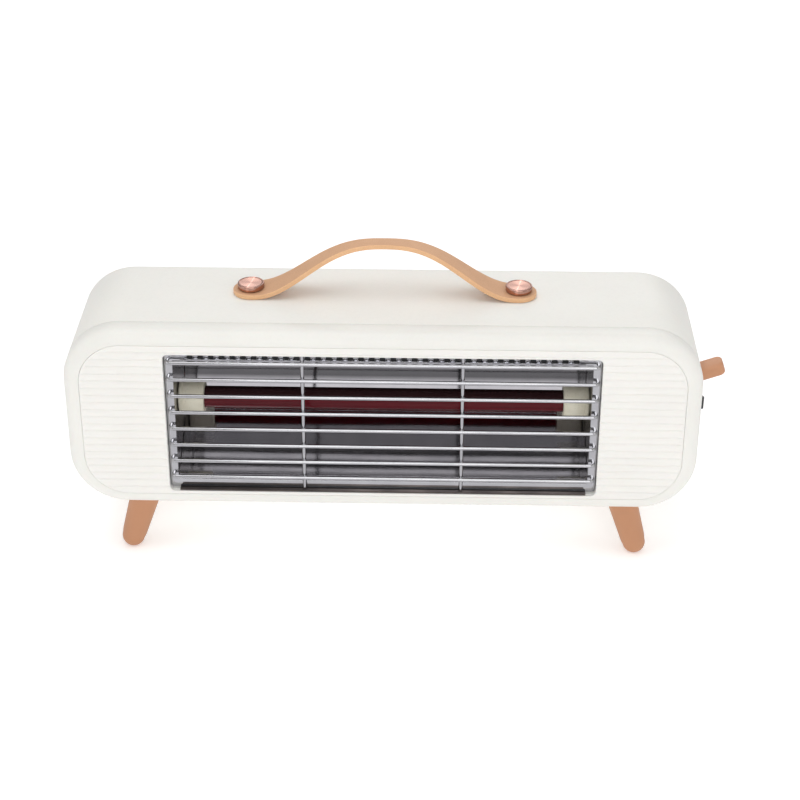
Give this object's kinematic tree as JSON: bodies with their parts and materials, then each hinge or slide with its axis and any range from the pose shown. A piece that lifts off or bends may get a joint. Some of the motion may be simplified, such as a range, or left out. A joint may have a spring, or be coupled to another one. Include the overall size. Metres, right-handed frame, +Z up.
{
  "type": "space heater",
  "caption": "Low infrared space heater: rounded casing with ribbed front and wire guard over a quartz tube, strap handle, splayed legs, side lever and power rocker.",
  "frame": {"origin": "on the floor under the middle of the whole object's width and depth; the casing's middle plane is 9.65 mm to the left, because the side lever reaches out on the right", "axes": "+X to the heater's right as seen from the front, +Y from the front grille to the rear cover, +Z up"},
  "size_m": [0.4202, 0.1022, 0.2017],
  "materials": {
    "casing_plastic": "satin warm white moulding",
    "panel_plastic": "satin warm white moulding with horizontal ribs",
    "chrome_wire": "bright plated",
    "polished_aluminium": "polished sheet",
    "zinc_plated_steel": "zinc plated",
    "rose_gold": "spun and polished",
    "tan_strap": "fine grain, matt",
    "tan_plastic": "satin terracotta tan",
    "cream_ceramic": "unglazed cream ceramic",
    "ruby_quartz": "ruby coated quartz",
    "tungsten": "drawn wire",
    "black_plastic": "fine matt",
    "lead_insulation": "silicone sleeve"
  },
  "bodies": {
    "casing": {"rear_shell": "casing_plastic", "front_frame": "casing_plastic", "front_panel": "panel_plastic", "back_cover": "casing_plastic", "cord_gland": "casing_plastic", "wire_grille": "chrome_wire", "grille_frame": "chrome_wire", "reflector": "polished_aluminium", "reflector_end_left": "polished_aluminium", "reflector_end_right": "polished_aluminium", "heat_shield": "zinc_plated_steel", "quartz_tube": "ruby_quartz", "heating_filament": "tungsten", "ceramic_holder_left": "cream_ceramic", "ceramic_holder_right": "cream_ceramic", "holder_bracket_left": "zinc_plated_steel", "holder_bracket_right": "zinc_plated_steel", "strap_handle": "tan_strap", "handle_cap_left": "rose_gold", "handle_cap_right": "rose_gold", "handle_nut_left": "zinc_plated_steel", "handle_nut_right": "zinc_plated_steel", "lever_bracket": "zinc_plated_steel", "lever_pin": "zinc_plated_steel", "rocker_housing": "black_plastic", "rocker_pin": "zinc_plated_steel", "tip_switch_housing": "black_plastic", "tip_pin": "zinc_plated_steel", "thermostat": "black_plastic", "thermal_fuse": "cream_ceramic", "terminal_block": "black_plastic", "lead_wire_left": "lead_insulation", "lead_wire_right": "lead_insulation", "lead_wire_switch": "lead_insulation", "back_cover_screw_upper_left": "zinc_plated_steel", "back_cover_screw_upper_right": "zinc_plated_steel", "back_cover_screw_lower_left": "zinc_plated_steel", "back_cover_screw_lower_right": "zinc_plated_steel", "leg_front_left": "tan_plastic", "leg_screw_front_left": "zinc_plated_steel", "leg_front_right": "tan_plastic", "leg_screw_front_right": "zinc_plated_steel", "leg_rear_left": "tan_plastic", "leg_screw_rear_left": "zinc_plated_steel", "leg_rear_right": "tan_plastic", "leg_screw_rear_right": "zinc_plated_steel"},
    "side_lever": {"side_lever": "tan_plastic"},
    "power_rocker": {"power_rocker": "black_plastic"},
    "tip_pendulum": {"tip_pendulum": "zinc_plated_steel"}
  },
  "joints": [
    {"name": "lever_tilt", "type": "hinge", "parent": "casing", "child": "side_lever", "pos_m": [0.17935, 0.0018, 0.1098], "axis": [0, 1, 0], "range_deg": [0, 25]},
    {"name": "rocker_press", "type": "hinge", "parent": "casing", "child": "power_rocker", "pos_m": [0.18995, 0.0015, 0.0956], "axis": [0, 0, -1], "range_deg": [0, 18]},
    {"name": "pendulum_swing", "type": "hinge", "parent": "casing", "child": "tip_pendulum", "pos_m": [-0.16165, 0.004, 0.0795], "axis": [1, 0, 0], "range_deg": [-25, 25]}
  ]
}
